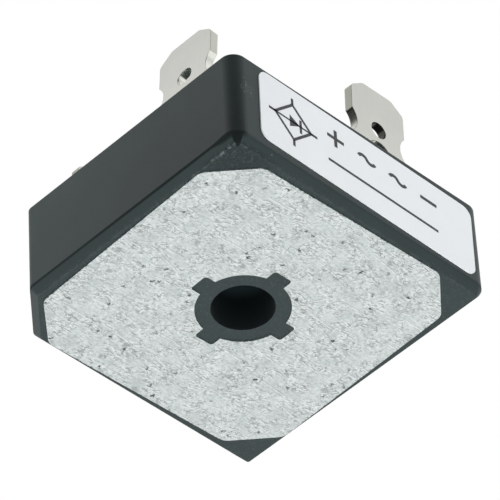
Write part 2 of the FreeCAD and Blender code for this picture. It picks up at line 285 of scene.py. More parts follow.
# case: glass-filled thermoset, moulded matt; near black with a soft sheen, worn at the -X, -Y corner of its
# foot; sizes are in mm, and a pair says where a change starts and ends, or what it starts and ends with
caseSet = {
    "colour": "#1a2424",
    "sheenTint": "#f0ffff",
    "roughness": (0.43, 0.57),
    "grain": 0.09,
    "grainDepth": 0.012 * mm,
    "cloud": 3.5,
    "cloudTones": (0.86, 1.14),
    "sideHalf": caseHigh.x / mm,
    "footHalf": 13.78,
    "shoulder": 0.87,
    "cornerHeight": 0.3,
    "leftFrom": -13.4,
    "lowBand": (0.2, 0.5),
    # painted sheen on the -X side above the bevel: where it changes along Y, its tones there, and its rise
    # with each mm of height
    "sheenAlong": (-6, 10),
    "sheenTones": (0.42, 1.2),
    "sheenRise": 0.05,
    "wear": {
        "colour": "#8b9494",
        "most": 0.45,
        "edgeBand": (0.02, 0.14),
        "edgeReach": (3.0, 6.5),
        "edgeShares": (0.8, 0.1),
        "edgeLeast": 0.12,
        "edgeGrain": 0.5,
        "edgeLevels": (0.45, 0.6),
        "fleckGrain": 0.18,
        "fleckLevels": (0.52, 0.68),
        "fleckReach": (1.2, 3.4),
        "fleckShares": (0.4, 0.14),
        "scuff": (-12.9, -14.4, 6.2),
        "scuffReach": (0.3, 1.1),
        "specks": {"cell": 1.7, "size": 0.26, "share": 0.12, "seed": 3.1},
        "speckShare": 0.3,
        "dullReach": (2.0, 6.0),
        "dullShares": (0.22, 0),
    },
    "line": {
        "colour": "#0b0f0f",
        "core": 0.02,
        "cornerReach": (1.0, 2.6),
        "widths": (0.45, 0.19),
        "outsideSpan": (-0.75, -0.5),
        "leftSpan": (0.5, 1.3),
        "leftShares": (0.75, 0.12),
        "fadeAlong": (-6, 4),
        "fadeShares": (1.05, 0.62),
    },
    # painted shade on the bevel at the -X, -Y corner
    "shadeWedge": {
        "slope": -0.6,
        "start": -15.98,
        "softness": (-0.1, 0.25),
        "top": (0.85, 1.15),
        "reach": 2.2,
        "most": 0.95,
    },
    "bore": {
        # painted shade on the hole's wall, and a painted sheen deep inside it
        "shadedWall": "#030b0c",
        "deepSheen": "#283638",
        "radius": 2.72,  # the hole's 2.7 and a little more, to take in its wall
        "sheenOver": (3.4, 4.9),
        "darkerOver": (5.5, 7.5),
        "darkerShares": (1, 0.3),
    },
}


def caseMeasures(tree):
    # where a point of the case lies: its coordinates, how far out it is, how far from the -X, -Y corner of
    # the foot, whether it is on the -X side, and how low it is
    place = placeInMillimetres(tree)
    parts = addNode(tree, "ShaderNodeSeparateXYZ", {}, {"Vector": place})
    corner = (-caseSet["footHalf"], -caseSet["footHalf"], caseSet["cornerHeight"])
    toCorner = addNode(tree, "ShaderNodeVectorMath", distance, {0: place, 1: corner})
    onLeft = addNode(tree, "ShaderNodeMath", lessThan, {0: parts.outputs["X"], 1: caseSet["leftFrom"]})
    low = addNode(tree, "ShaderNodeMapRange", smooth, {
        "Value": parts.outputs["Z"], fromRange: caseSet["lowBand"], toRange: (1, 0)})
    return {
        "place": place,
        "x": parts.outputs["X"],
        "y": parts.outputs["Y"],
        "z": parts.outputs["Z"],
        "reach": squareReach(tree, parts),
        "toCorner": toCorner.outputs["Value"],
        "onLeft": onLeft,
        "low": low,
    }


def caseWear(tree, at):
    wear = caseSet["wear"]
    # scratched edge of the foot: plain on the -X side near the corner, faint elsewhere
    offEdge = addNode(tree, "ShaderNodeMath", subtract, {0: at["reach"], 1: caseSet["footHalf"]})
    nearEdge = addNode(tree, "ShaderNodeMath", absolute, {0: offEdge})
    edgeBand = addNode(tree, "ShaderNodeMapRange", smooth, {
        "Value": nearEdge, fromRange: wear["edgeBand"], toRange: (1, 0)})
    fromCorner = addNode(tree, "ShaderNodeMapRange", smooth, {
        "Value": at["toCorner"], fromRange: wear["edgeReach"], toRange: wear["edgeShares"]})
    leftShare = addNode(tree, "ShaderNodeMath", multiply, {0: at["onLeft"], 1: fromCorner})
    edgeShare = addNode(tree, "ShaderNodeMath", maximum, {0: leftShare, 1: wear["edgeLeast"]})
    broken = noiseLayer(tree, at["place"], wear["edgeGrain"], 3, 0.7, levels=wear["edgeLevels"])[1]
    rubbed = edgeBand
    for share in (at["low"], broken, edgeShare):
        rubbed = addNode(tree, "ShaderNodeMath", multiply, {0: rubbed, 1: share})
    # fine flecks at that corner, a scuff of the same flecks on the side above it, and a few specks all over
    flecks = noiseLayer(
        tree, at["place"], wear["fleckGrain"], 3, 0.65, levels=wear["fleckLevels"], step=smooth)[1]
    fleckShare = addNode(tree, "ShaderNodeMapRange", smooth, {
        "Value": at["toCorner"], fromRange: wear["fleckReach"], toRange: wear["fleckShares"]})
    lowFlecks = addNode(tree, "ShaderNodeMath", multiply, {0: flecks, 1: at["low"]})
    cornerFlecks = addNode(tree, "ShaderNodeMath", multiply, {0: lowFlecks, 1: fleckShare})
    toScuff = addNode(tree, "ShaderNodeVectorMath", distance, {0: at["place"], 1: wear["scuff"]})
    scuffShare = addNode(tree, "ShaderNodeMapRange", smooth, {
        "Value": toScuff.outputs["Value"], fromRange: wear["scuffReach"], toRange: (1, 0)})
    scuff = addNode(tree, "ShaderNodeMath", multiply, {0: flecks, 1: scuffShare})
    specks = pitLayer(tree, at["place"], **wear["specks"])
    faintSpecks = addNode(tree, "ShaderNodeMath", multiply, {0: specks, 1: wear["speckShare"]})
    for marks in (cornerFlecks, scuff, faintSpecks):
        rubbed = addNode(tree, "ShaderNodeMath", maximum, {0: rubbed, 1: marks})
    return rubbed


def shoulderLine(tree, at):
    # thin shadow line where the bevel meets the side: plain on the -X side and fading towards +Y,
    # faint on the other sides, and wide at the -X, -Y corner
    line = caseSet["line"]
    half = caseSet["sideHalf"]
    offLine = addNode(tree, "ShaderNodeMath", subtract, {0: at["z"], 1: caseSet["shoulder"]})
    nearLine = addNode(tree, "ShaderNodeMath", absolute, {0: offLine})
    width = addNode(tree, "ShaderNodeMapRange", smooth, {
        "Value": at["toCorner"], fromRange: line["cornerReach"], toRange: line["widths"]})
    dark = addNode(tree, "ShaderNodeMapRange", smooth, {
        "Value": nearLine, fromRange: (line["core"], width), toRange: (1, 0)})
    outside = addNode(tree, "ShaderNodeMapRange", {}, {
        "Value": at["reach"], fromRange: [half + inset for inset in line["outsideSpan"]]})
    leftShare = addNode(tree, "ShaderNodeMapRange", smooth, {
        "Value": at["x"], fromRange: [inset - half for inset in line["leftSpan"]],
        toRange: line["leftShares"]})
    fade = addNode(tree, "ShaderNodeMapRange", {}, {
        "Value": at["y"], fromRange: line["fadeAlong"], toRange: line["fadeShares"]})
    for share in (outside, leftShare, fade):
        dark = addNode(tree, "ShaderNodeMath", multiply, {0: dark, 1: share})
    return dark


def paintedCornerShade(tree, at):
    # painted shade: a dark wedge on the bevel of the -X, -Y corner, pointing at the foot
    shadeWedge = caseSet["shadeWedge"]
    offDiagonal = addNode(tree, "ShaderNodeMath", subtract, {0: at["x"], 1: at["y"]})
    besideDiagonal = addNode(tree, "ShaderNodeMath", absolute, {0: offDiagonal})
    outwards = addNode(tree, "ShaderNodeMath", add, {0: at["x"], 1: at["y"]})
    wedgeHalf = addNode(tree, "ShaderNodeMath", multiplyAdd, {
        0: outwards, 1: shadeWedge["slope"], 2: shadeWedge["start"]})
    inside = addNode(tree, "ShaderNodeMath", subtract, {0: wedgeHalf, 1: besideDiagonal})
    dark = addNode(tree, "ShaderNodeMapRange", smooth, {
        "Value": inside, fromRange: shadeWedge["softness"], toRange: (0, shadeWedge["most"])})
    top = addNode(tree, "ShaderNodeMapRange", smooth, {
        "Value": at["z"], fromRange: shadeWedge["top"], toRange: (1, 0)})
    here = addNode(tree, "ShaderNodeMath", lessThan, {0: at["toCorner"], 1: shadeWedge["reach"]})
    for share in (top, here):
        dark = addNode(tree, "ShaderNodeMath", multiply, {0: dark, 1: share})
    return dark


def caseTone(tree, at):
    # cloudy tone of the moulding; the -X side is paler towards the cut corner and towards the top, a painted
    # sheen
    cloud = noiseLayer(tree, at["place"], caseSet["cloud"], 4, 0.6, caseSet["cloudTones"])[1]
    along = addNode(tree, "ShaderNodeMapRange", {}, {
        "Value": at["y"], fromRange: caseSet["sheenAlong"], toRange: caseSet["sheenTones"]})
    paintedSideSheen = addNode(tree, "ShaderNodeMath", multiplyAdd, {0: at["z"], 1: caseSet["sheenRise"], 2: along})
    aboveBevel = addNode(tree, "ShaderNodeMath", lessThan, {0: caseSet["shoulder"], 1: at["z"]})
    flatSide = addNode(tree, "ShaderNodeMath", multiply, {0: at["onLeft"], 1: aboveBevel})
    sideShare = addNode(tree, "ShaderNodeMapRange", {}, {"Value": flatSide, toRange: (1, paintedSideSheen)})
    tone = addNode(tree, "ShaderNodeMath", multiply, {0: cloud, 1: sideShare})
    return addNode(tree, "ShaderNodeMix", tint, {
        0: 1, colourPair: (hexColour(caseSet["colour"]), tone)}).outputs[2]


def boreWall(tree, at):
    # the wall of the screw hole: which points are on it, and its colour, a painted shade darker than the rest
    # of the case, with a painted sheen making it paler deep inside
    bore = caseSet["bore"]
    flat = addNode(tree, "ShaderNodeVectorMath", multiply, {0: at["place"], 1: (1, 1, 0)})
    fromAxis = addNode(tree, "ShaderNodeVectorMath", {"operation": "LENGTH"}, {0: flat})
    inBore = addNode(tree, "ShaderNodeMath", lessThan, {0: fromAxis.outputs["Value"], 1: bore["radius"]})
    paler = addNode(tree, "ShaderNodeMapRange", smooth, {"Value": at["z"], fromRange: bore["sheenOver"]})
    darker = addNode(tree, "ShaderNodeMapRange", smooth, {
        "Value": at["z"], fromRange: bore["darkerOver"], toRange: bore["darkerShares"]})
    sheenShare = addNode(tree, "ShaderNodeMath", multiply, {0: paler, 1: darker})
    colour = addNode(tree, "ShaderNodeMix", mix, {
        0: sheenShare, colourPair: (hexColour(bore["shadedWall"]), hexColour(bore["deepSheen"]))}).outputs[2]
    return inBore, colour


def mouldedThermoset():
    material, tree = newMaterial("glass-filled thermoset, moulded matt")
    wear = caseSet["wear"]
    at = caseMeasures(tree)
    shadeWedge = paintedCornerShade(tree, at)
    inBore, boreShadeAndSheen = boreWall(tree, at)
    # painted shadows: the shoulder line and the corner wedge; the foot is also a little darker and duller
    # round the -X, -Y corner
    nearCorner = addNode(tree, "ShaderNodeMapRange", smooth, {
        "Value": at["toCorner"], fromRange: wear["dullReach"], toRange: wear["dullShares"]})
    shade = addNode(tree, "ShaderNodeMath", multiply, {0: nearCorner, 1: at["low"]})
    for shadow in (shoulderLine(tree, at), shadeWedge):
        shade = addNode(tree, "ShaderNodeMath", maximum, {0: shade, 1: shadow})
    # the rubbing fades out in the wedge
    rubShare = addNode(tree, "ShaderNodeMapRange", {}, {"Value": shadeWedge, toRange: (wear["most"], 0)})
    rubbed = addNode(tree, "ShaderNodeMath", multiply, {0: caseWear(tree, at), 1: rubShare})
    colour = caseTone(tree, at)
    shadowColour = hexColour(caseSet["line"]["colour"])
    # over the tone: the painted shadows, the screw hole's painted shade and sheen, then the wear
    for share, layer in ((shade, shadowColour), (inBore, boreShadeAndSheen), (rubbed, hexColour(wear["colour"]))):
        colour = addNode(tree, "ShaderNodeMix", mix, {0: share, colourPair: (colour, layer)}).outputs[2]
    # moulding grain, drawn at 0.09 mm so that it shows; the shadows and the screw hole have no sheen
    grain, sheen = noiseLayer(tree, at["place"], caseSet["grain"], 3, 0.6, caseSet["roughness"])
    dull = addNode(tree, "ShaderNodeMath", maximum, {0: shade, 1: inBore})
    rough = addNode(tree, "ShaderNodeMath", {**add, "use_clamp": True}, {0: sheen, 1: dull})
    bump = addNode(tree, "ShaderNodeBump", {}, {
        "Height": grain, "Distance": caseSet["grainDepth"], "Strength": 0.5})
    shader = addNode(tree, "ShaderNodeBsdfPrincipled", {}, {
        "Base Color": colour, "Roughness": rough, "Normal": bump,
        "Specular Tint": hexColour(caseSet["sheenTint"])})
    addNode(tree, "ShaderNodeOutputMaterial", {}, {"Surface": shader})
    return material


# base plate: rolled aluminium sheet, tumbled dull; pale grey, with patches of fine short scratches,
# dinged here and there; sizes in mm, angles of the marks in degrees from +X
plateSet = {
    "pale": "#d9e1e0",
    "dull": "#c6cecd",
    # dark: the dings, and the painted shade in furrows and low spots; the next colour is the painted
    # highlight on ridges and high spots
    "dark": "#4d5453",
    "bright": "#f8fbfa",
    "roughness": (0.34, 0.52),
    "half": 13.4,
    "turn": math.radians(1.8),
    "cloud": 2.2,
    "mottle": 0.3,
    "mottleShare": 0.5,
    "toneLevels": (0.6, 0.9),
    "zone": 1.5,
    "zoneLevels": (0.4, 0.58),
    "zoneShares": (0.35, 1),
    "ragged": 0.35,
    "bend": 0.2,
    "push": 0.9,
    "grains": [  # width across, length along, angle and seed
        (0.22, 0.8, 3, 0.0),
        (0.24, 0.38, -55, 5.0),
        (0.24, 0.36, 45, 9.0),
    ],
    # levels of the grain for its painted shade and for its painted highlight
    "lowLevels": (0.43, 0.33),
    "highLevels": (0.56, 0.66),
    "scratches": [
        {"cell": 0.75, "width": 0.1, "length": 0.9, "share": 0.45, "angle": -12, "spread": 24, "seed": 1.0},
        {"cell": 0.65, "width": 0.09, "length": 0.6, "share": 0.45, "angle": -48, "spread": 40, "seed": 4.0},
    ],
    "longScratches": [
        {"cell": 3.6, "width": 0.08, "length": 3.6, "share": 0.5, "angle": -30, "spread": 50, "seed": 13.0},
        {"cell": 3.2, "width": 0.09, "length": 4.2, "share": 0.85, "angle": 3, "spread": 10, "seed": 21.0},
    ],
    "specks": {"cell": 1.1, "size": 0.4, "share": 0.13, "seed": 2.0},
    "dents": {"cell": 2.8, "size": 0.75, "share": 0.2, "seed": 7.0},
    "nickRagged": 1.2,
    "nickSpan": (0.6, 0.7),
    "markShare": 0.5,
    "longShare": 0.25,
    "speckShare": 0.95,
    "dentShare": 0.4,
    "nickShare": 0.7,
    "highlightShare": 0.65,
    "grooveDepth": 0.01 * mm,
}


def rimNicks(tree, place, ragged):
    # nicks along the plate's rim, where ragged noise reaches past it
    squared = addNode(tree, "ShaderNodeVectorRotate", aboutZ, {"Vector": place, "Angle": plateSet["turn"]})
    parts = addNode(tree, "ShaderNodeSeparateXYZ", {}, {"Vector": squared})
    nickReach = addNode(tree, "ShaderNodeMath", multiplyAdd, {
        0: ragged, 1: plateSet["nickRagged"], 2: squareReach(tree, parts)})
    return addNode(tree, "ShaderNodeMapRange", {}, {
        "Value": nickReach, fromRange: [plateSet["half"] + past for past in plateSet["nickSpan"]],
        toRange: (0, plateSet["nickShare"])})


def tumbledPlate():
    material, tree = newMaterial("rolled aluminium, tumbled dull")
    place = placeInMillimetres(tree)
    # tone: broad soft clouds with a fine mottle over them
    cloud = addNode(tree, "ShaderNodeTexNoise", {}, {
        "Vector": place, "Scale": 1 / plateSet["cloud"], "Detail": 3, "Roughness": 0.6})
    mottle, rough = noiseLayer(tree, place, plateSet["mottle"], 3, 0.7, plateSet["roughness"])
    both = addNode(tree, "ShaderNodeMath", multiplyAdd, {0: mottle, 1: plateSet["mottleShare"], 2: cloud})
    tone = addNode(tree, "ShaderNodeMapRange", {}, {"Value": both, fromRange: plateSet["toneLevels"]})
    base = addNode(tree, "ShaderNodeMix", mix, {
        0: tone, colourPair: (hexColour(plateSet["dull"]), hexColour(plateSet["pale"]))}).outputs[2]
    # ragged noise bends the scratches a little and pushes the dings out of round
    ragged = addNode(tree, "ShaderNodeTexNoise", {}, {
        "Vector": place, "Scale": 1 / plateSet["ragged"], "Detail": 2, "Roughness": 0.6})
    bent, pushed = [
        addNode(tree, "ShaderNodeVectorMath", multiplyAdd, {
            0: ragged.outputs["Color"], 1: (shift, shift, 0), 2: place})
        for shift in (plateSet["bend"], plateSet["push"])]
    # fine grain, with painted shade in its low spots and painted highlights on its high spots, and short
    # scratches
    grains = []
    for grain in plateSet["grains"]:
        stroke = strokeLayer(tree, place, *grain)
        grains.append([
            addNode(tree, "ShaderNodeMapRange", {}, {"Value": stroke, fromRange: levels})
            for levels in (plateSet["lowLevels"], plateSet["highLevels"])])
    scratches = [scratchLayer(tree, bent, **scratch) for scratch in plateSet["scratches"]]
    paintedMarkShade, paintedHighlights = strongestMarks(tree, grains + scratches)
    # long scratches: painted shade in their furrows and painted highlights on their ridges
    longFurrows, longRidges = strongestMarks(
        tree, [scratchLayer(tree, bent, **scratch) for scratch in plateSet["longScratches"]])
    # dings of uneven shape: dark specks often, grey dents seldom
    specks = pitLayer(tree, pushed, **plateSet["specks"], dimensions="2D")
    dents = pitLayer(tree, pushed, **plateSet["dents"], dimensions="2D")
    # all but the long scratches, the dents and the nicks gather in patches, with plainer metal between
    zones = noiseLayer(
        tree, place, plateSet["zone"], 3, 0.6, plateSet["zoneShares"], plateSet["zoneLevels"], smooth)[1]
    paintedMarkShade, paintedHighlights, specks = [
        addNode(tree, "ShaderNodeMath", multiply, {0: marks, 1: zones})
        for marks in (paintedMarkShade, paintedHighlights, specks)]
    # dark share: nicks, specks and dents, and the painted shade of the grain and the furrows
    darkShare = rimNicks(tree, place, ragged)
    for marks, most in (
            (paintedMarkShade, plateSet["markShare"]), (longFurrows, plateSet["longShare"]),
            (specks, plateSet["speckShare"]), (dents, plateSet["dentShare"])):
        share = addNode(tree, "ShaderNodeMath", multiply, {0: marks, 1: most})
        darkShare = addNode(tree, "ShaderNodeMath", maximum, {0: darkShare, 1: share})
    # painted highlights on the ridges of the grain and the scratches
    ridgeHighlights = addNode(tree, "ShaderNodeMath", maximum, {0: paintedHighlights, 1: longRidges})
    highlightShare = addNode(tree, "ShaderNodeMath", multiply, {0: ridgeHighlights, 1: plateSet["highlightShare"]})
    lit = addNode(tree, "ShaderNodeMix", mix, {
        0: highlightShare, colourPair: (base, hexColour(plateSet["bright"]))}).outputs[2]
    marked = addNode(tree, "ShaderNodeMix", mix, {
        0: darkShare, colourPair: (lit, hexColour(plateSet["dark"]))}).outputs[2]
    grooves = addNode(tree, "ShaderNodeMath", subtract, {0: highlightShare, 1: darkShare})
    bump = addNode(tree, "ShaderNodeBump", {}, {
        "Height": grooves, "Distance": plateSet["grooveDepth"], "Strength": 0.1})
    shader = addNode(tree, "ShaderNodeBsdfPrincipled", {}, {
        "Base Color": marked, "Metallic": 1, "Roughness": rough, "Normal": bump})
    addNode(tree, "ShaderNodeOutputMaterial", {}, {"Surface": shader})
    return material


# terminals: tin-plated brass strip, stamped; warm satin grey, with darker sheared edges and smooth punched
# walls; sizes in mm, with one value for each way that a blade lies flat
bladeSet = {
    "face": "#d3d4ce",
    # the paler edges and punched walls of the blades flat to X are a painted highlight; the darker punched
    # walls of those flat to Y are painted shade
    "edge": {"X": "#d6d7cd", "Y": "#b9bab0"},
    "punched": {"X": "#e6e8e0", "Y": "#c8cac0"},
    # painted shade: the punched walls of the blades flat to Y darken upwards over the next span
    "punchedTop": {"X": 1.0, "Y": 0.15},
    "punchedSpan": (14.6, 15.65),
    # painted shade: the faces darken towards the tip, more on the blades flat to X
    "tipShade": {"X": 0.92, "Y": 0.955},
    "tipSpan": (14.5, 19),
    "roughness": 0.36,
    "edgeRoughness": 0.5,
    "punchedRoughness": 0.22,
    "faceLevels": (0.4, 0.75),
    "streaks": (6, 6, 0.35),  # to a millimetre: each a sixth of a millimetre wide and 3 mm long
    "streakDepth": 0.006 * mm,
    "cloud": 1.8,
    "toneLevels": (0.7, 1.3),
    "tones": (0.97, 1.03),
    "middle": 5.5,
    "holeHalf": 1.9,
    "notchHeight": 15.2,
    "notchHalf": 1.3,
    "edgeRadius": 0.09 * mm,
}


def tinPlatedStrip(flatAxis):
    material, tree = newMaterial("tin-plated brass, stamped, flat to " + flatAxis)
    place = placeInMillimetres(tree)
    parts = addNode(tree, "ShaderNodeSeparateXYZ", {}, {"Vector": place})
    geometry = addNode(tree, "ShaderNodeNewGeometry")
    facing = addNode(tree, "ShaderNodeSeparateXYZ", {}, {"Vector": geometry.outputs["Normal"]})
    flatness = addNode(tree, "ShaderNodeMath", absolute, {0: facing.outputs[flatAxis]})
    onFace = addNode(tree, "ShaderNodeMapRange", {}, {"Value": flatness, fromRange: bladeSet["faceLevels"]})
    # faint streaks of the rolling and soft clouds
    rolled = addNode(tree, "ShaderNodeMapping", {}, {"Vector": place, "Scale": bladeSet["streaks"]})
    streaks = addNode(tree, "ShaderNodeTexNoise", {}, {
        "Vector": rolled, "Scale": 1, "Detail": 5, "Roughness": 0.6})
    cloud = addNode(tree, "ShaderNodeTexNoise", {}, {
        "Vector": place, "Scale": 1 / bladeSet["cloud"], "Detail": 4, "Roughness": 0.6})
    both = addNode(tree, "ShaderNodeMath", add, {0: streaks, 1: cloud})
    tone = addNode(tree, "ShaderNodeMapRange", {}, {
        "Value": both, fromRange: bladeSet["toneLevels"], toRange: bladeSet["tones"]})
    # the walls of the holes lie near the blade's middle line, and the notches at one height
    alongSide = addNode(tree, "ShaderNodeMath", absolute, {0: parts.outputs["Y" if flatAxis == "X" else "X"]})
    inHole = addNode(tree, "ShaderNodeMath", compare, {
        0: alongSide, 1: bladeSet["middle"], 2: bladeSet["holeHalf"]})
    inNotch = addNode(tree, "ShaderNodeMath", compare, {
        0: parts.outputs["Z"], 1: bladeSet["notchHeight"], 2: bladeSet["notchHalf"]})
    punched = addNode(tree, "ShaderNodeMath", maximum, {0: inHole, 1: inNotch})
    # painted shade: the punched walls darken upwards, strongly on the blades flat to Y
    punchedShade = addNode(tree, "ShaderNodeMapRange", smooth, {
        "Value": parts.outputs["Z"], fromRange: bladeSet["punchedSpan"],
        toRange: (1, bladeSet["punchedTop"][flatAxis])})
    punchedTone = addNode(tree, "ShaderNodeMix", tint, {
        0: 1, colourPair: (hexColour(bladeSet["punched"][flatAxis]), punchedShade)}).outputs[2]
    edgeTone = addNode(tree, "ShaderNodeMix", mix, {
        0: punched, colourPair: (hexColour(bladeSet["edge"][flatAxis]), punchedTone)}).outputs[2]
    edgeRough = addNode(tree, "ShaderNodeMapRange", {}, {
        "Value": punched, toRange: (bladeSet["edgeRoughness"], bladeSet["punchedRoughness"])})
    edgeOrFace = addNode(tree, "ShaderNodeMix", mix, {
        0: onFace, colourPair: (edgeTone, hexColour(bladeSet["face"]))}).outputs[2]
    # painted shade: the faces darken a little towards the tip
    towardsTip = addNode(tree, "ShaderNodeMapRange", {}, {
        "Value": parts.outputs["Z"], fromRange: bladeSet["tipSpan"],
        toRange: (1, bladeSet["tipShade"][flatAxis])})
    tipOnFace = addNode(tree, "ShaderNodeMapRange", {}, {"Value": onFace, toRange: (1, towardsTip)})
    shade = addNode(tree, "ShaderNodeMath", multiply, {0: tone, 1: tipOnFace})
    toned = addNode(tree, "ShaderNodeMix", tint, {0: 1, colourPair: (edgeOrFace, shade)}).outputs[2]
    rough = addNode(tree, "ShaderNodeMapRange", {}, {
        "Value": onFace, toRange: (edgeRough, bladeSet["roughness"])})
    softEdge = addNode(tree, "ShaderNodeBevel", {"samples": 6}, {"Radius": bladeSet["edgeRadius"]})
    bump = addNode(tree, "ShaderNodeBump", {}, {
        "Height": streaks, "Distance": bladeSet["streakDepth"], "Strength": 0.15, "Normal": softEdge})
    shader = addNode(tree, "ShaderNodeBsdfPrincipled", {}, {
        "Base Color": toned, "Metallic": 1, "Roughness": rough, "Normal": bump})
    addNode(tree, "ShaderNodeOutputMaterial", {}, {"Surface": shader})
    return material


# label: white polyester film, satin; a faint cool white, greyer at its -X end, and wavy from the adhesive
labelSet = {
    "film": "#e4e8eb",
    "roughness": 0.42,
    "wave": 2.5,
    "waveDepth": 0.03 * mm,
    "tones": (0.985, 1.01),
    "greyEnd": 0.96,
    "greySpan": (-13, -6),
}


def polyesterFilm():
    material, tree = newMaterial("white polyester film, satin")
    place = placeInMillimetres(tree)
    parts = addNode(tree, "ShaderNodeSeparateXYZ", {}, {"Vector": place})
    wave, tone = noiseLayer(tree, place, labelSet["wave"], 3, 0.5, labelSet["tones"])
    towardsEnd = addNode(tree, "ShaderNodeMapRange", {}, {
        "Value": parts.outputs["X"], fromRange: labelSet["greySpan"], toRange: (labelSet["greyEnd"], 1)})
    shade = addNode(tree, "ShaderNodeMath", multiply, {0: tone, 1: towardsEnd})
    toned = addNode(tree, "ShaderNodeMix", tint, {
        0: 1, colourPair: (hexColour(labelSet["film"]), shade)}).outputs[2]
    bump = addNode(tree, "ShaderNodeBump", {}, {
        "Height": wave, "Distance": labelSet["waveDepth"], "Strength": 0.3})
    shader = addNode(tree, "ShaderNodeBsdfPrincipled", {}, {
        "Base Color": toned, "Roughness": labelSet["roughness"], "Normal": bump})
    addNode(tree, "ShaderNodeOutputMaterial", {}, {"Surface": shader})
    return material


# finishes sealed inside the part: colour, metallic, roughness, size of the pattern in mm, how much it varies
innerSet = {
    "casting resin, poured": ("#262627", 0, 0.35, 2.0, 0.1),
    "alumina, fired": ("#e8e6df", 0, 0.6, 0.3, 0.05),
    "copper sheet, annealed": ("#c98a6b", 1, 0.35, 0.6, 0.12),
    "silicon, sawn": ("#5b5e66", 0, 0.3, 0.15, 0.15),
    "tin-lead solder, reflowed": ("#b9bbbb", 1, 0.3, 0.4, 0.1),
}
innerDepth = 0.01 * mm


def plainFinish(name):
    material, tree = newMaterial(name)
    colour, metallic, roughness, size, change = innerSet[name]
    noise, tone = noiseLayer(tree, placeInMillimetres(tree), size, 4, 0.6, (1 - change, 1 + change))
    toned = addNode(tree, "ShaderNodeMix", tint, {0: 1, colourPair: (hexColour(colour), tone)}).outputs[2]
    bump = addNode(tree, "ShaderNodeBump", {}, {"Height": noise, "Distance": innerDepth, "Strength": 0.3})
    shader = addNode(tree, "ShaderNodeBsdfPrincipled", {}, {
        "Base Color": toned, "Metallic": metallic, "Roughness": roughness, "Normal": bump})
    addNode(tree, "ShaderNodeOutputMaterial", {}, {"Surface": shader})
    return material


# print: black ink on the film, a little uneven
inkSet = {"full": "#1c1e20", "thin": "#34373a", "grain": 0.12, "roughness": 0.5}


def printInk():
    material, tree = newMaterial("black ink, printed on film")
    uneven = addNode(tree, "ShaderNodeTexNoise", {}, {
        "Vector": placeInMillimetres(tree), "Scale": 1 / inkSet["grain"], "Detail": 3, "Roughness": 0.6})
    tone = addNode(tree, "ShaderNodeMix", mix, {
        0: uneven, colourPair: (hexColour(inkSet["full"]), hexColour(inkSet["thin"]))}).outputs[2]
    shader = addNode(tree, "ShaderNodeBsdfPrincipled", {}, {
        "Base Color": tone, "Roughness": inkSet["roughness"]})
    addNode(tree, "ShaderNodeOutputMaterial", {}, {"Surface": shader})
    return material


casePlastic = mouldedThermoset()
plateMetal = tumbledPlate()
bladeMetal = {"Y": tinPlatedStrip("Y"), "X": tinPlatedStrip("X")}
filmWhite = polyesterFilm()
inkBlack = printInk()
inner = {name: plainFinish(name) for name in innerSet}


def finishNode(name, material):
    node = nodes[name]
    node.data.materials.clear()
    node.data.materials.append(material)


finishNode("case", casePlastic)
finishNode("base_plate", plateMetal)
finishNode("label", filmWhite)
finishNode("ceramic_sheet", inner["alumina, fired"])
finishNode("resin", inner["casting resin, poured"])
for side in sides:
    finishNode("terminal_" + side, bladeMetal["X" if side.startswith("ac") else "Y"])
    finishNode("pad_" + side, inner["copper sheet, annealed"])
    finishNode("strip_" + side, inner["copper sheet, annealed"])
    finishNode("chip_" + side, inner["silicon, sawn"])
    for layer in ("chip_under_solder_", "chip_over_solder_", "strip_solder_", "foot_solder_"):
        finishNode(layer + side, inner["tin-lead solder, reflowed"])
print("materials made")

# how every new piece is cleaned up and shaded
cleanSet = {
    "merge": 0.0005 * mm,
    "smoothBelow": math.radians(30),
    "bevelAbove": math.radians(40),
}


def makeActive(piece):
    deselectAll()
    piece.select_set(True)
    bpy.context.view_layer.objects.active = piece


def applyPlace():
    bpy.ops.object.transform_apply(location=True, rotation=True, scale=True)


def mergeAndTurnOut():
    # in edit mode: joins what coincides and turns every face outwards
    bpy.ops.mesh.select_all(action="SELECT")
    bpy.ops.mesh.remove_doubles(threshold=cleanSet["merge"])
    bpy.ops.mesh.normals_make_consistent(inside=False)


def finishPiece(piece, name, material):
    # settles a new piece's place in its mesh and hands it to the frame
    makeActive(piece)
    applyPlace()
    piece.name = name
    piece.data.name = name
    piece.data.materials.clear()
    piece.data.materials.append(material)
    bpy.ops.object.mode_set(mode="EDIT")
    mergeAndTurnOut()
    bpy.ops.object.mode_set(mode="OBJECT")
    bpy.ops.object.shade_smooth_by_angle(angle=cleanSet["smoothBelow"])
    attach(piece, "root")


def pickFaces(piece, chosen):
    # leaves the piece in edit mode with only the chosen faces selected
    bpy.ops.object.mode_set(mode="EDIT")
    bpy.ops.mesh.select_mode(type="FACE")
    bpy.ops.mesh.select_all(action="DESELECT")
    bpy.ops.object.mode_set(mode="OBJECT")
    for face in piece.data.polygons:
        face.select = chosen(face)
    bpy.ops.object.mode_set(mode="EDIT")


def armSign(size, stroke, height, ways):
    # a square pad with an arm drawn out of its side each given way
    deselectAll()
    bpy.ops.mesh.primitive_cube_add(size=1, location=(0, 0, 0), scale=(stroke, stroke, height))
    piece = bpy.context.object
    applyPlace()
    arm = (size - stroke) / 2
    for x, y in ways:
        pickFaces(piece, lambda face: face.normal.x * x + face.normal.y * y > 0.9
                  and abs(face.center.x * y) + abs(face.center.y * x) < stroke / 4)
        bpy.ops.mesh.extrude_region_move(TRANSFORM_OT_translate={"value": (x * arm, y * arm, 0)})
        bpy.ops.object.mode_set(mode="OBJECT")
    return piece


def plusSign(size, stroke, height):
    return armSign(size, stroke, height, [(1, 0), (-1, 0), (0, 1), (0, -1)])


def minusSign(size, stroke, height):
    return armSign(size, stroke, height, [(1, 0), (-1, 0)])


# half the turn of one arc of the wave sign, and the steps of its spin
waveSet = {"halfTurn": math.radians(60), "steps": 12}


